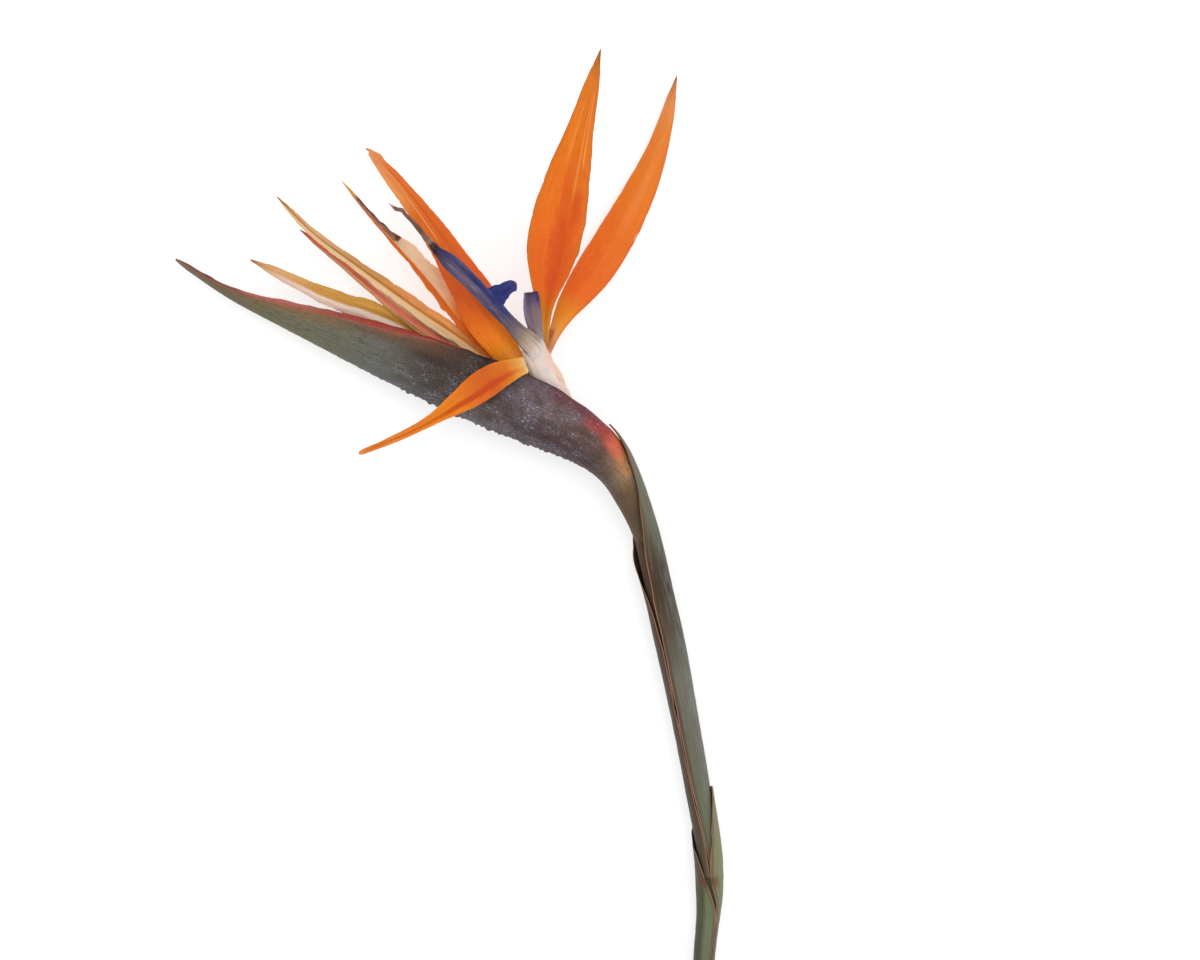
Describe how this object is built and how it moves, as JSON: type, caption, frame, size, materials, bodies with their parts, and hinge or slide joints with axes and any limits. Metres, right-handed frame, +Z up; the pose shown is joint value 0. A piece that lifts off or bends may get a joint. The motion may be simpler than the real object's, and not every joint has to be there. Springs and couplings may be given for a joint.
{
  "type": "bird of paradise flower",
  "caption": "Cut bird of paradise flower lying on its side: sheathed stem, boat-shaped spathe, and three florets with orange sepals and blue arrow petals",
  "frame": {"origin": "under the middle of the flower's bounding box, on the surface it lies on", "axes": "+Z up from the surface, +Y from the cut stem end towards the flower head, +X to the right, away from the spathe's tip"},
  "size_m": [0.2096, 0.3948, 0.0457],
  "materials": {
    "stem_green": "waxy green stem skin, brown on its bare side",
    "sheath_green": "grey-green sheath with a waxy bloom and a pink margin",
    "spathe_skin": "leathery bract, grey-green shading to dark purple-brown, crimson margin",
    "sepal_orange": "fresh orange sepal, satin",
    "sepal_fading": "fading orange and tan sepal with a withered margin",
    "sepal_pale": "pale yellow and cream sepal with pink and olive bands",
    "petal_blue": "deep blue-violet petal, fading to grey at its foot",
    "floret_white": "waxy white floret base",
    "bract_pink": "thin pink-white bract",
    "withered_brown": "dry dark brown tissue"
  },
  "bodies": {
    "root": {"stem": "stem_green", "upper_sheath": "sheath_green", "lower_sheath": "sheath_green", "spathe": "spathe_skin", "tall_sepal": "sepal_orange", "right_sepal": "sepal_orange", "drooping_sepal": "sepal_orange", "second_tall_sepal": "sepal_orange", "second_folded_sepal": "sepal_fading", "faded_tan_sepal": "sepal_fading", "faded_long_sepal": "sepal_pale", "faded_low_sepal": "sepal_pale", "arrow_petals": "petal_blue", "hood_petal": "petal_blue", "fresh_floret_base": "floret_white", "second_floret_base": "floret_white", "faded_floret_base": "floret_white", "floret_bract": "bract_pink", "withered_style": "withered_brown"}
  },
  "joints": []
}
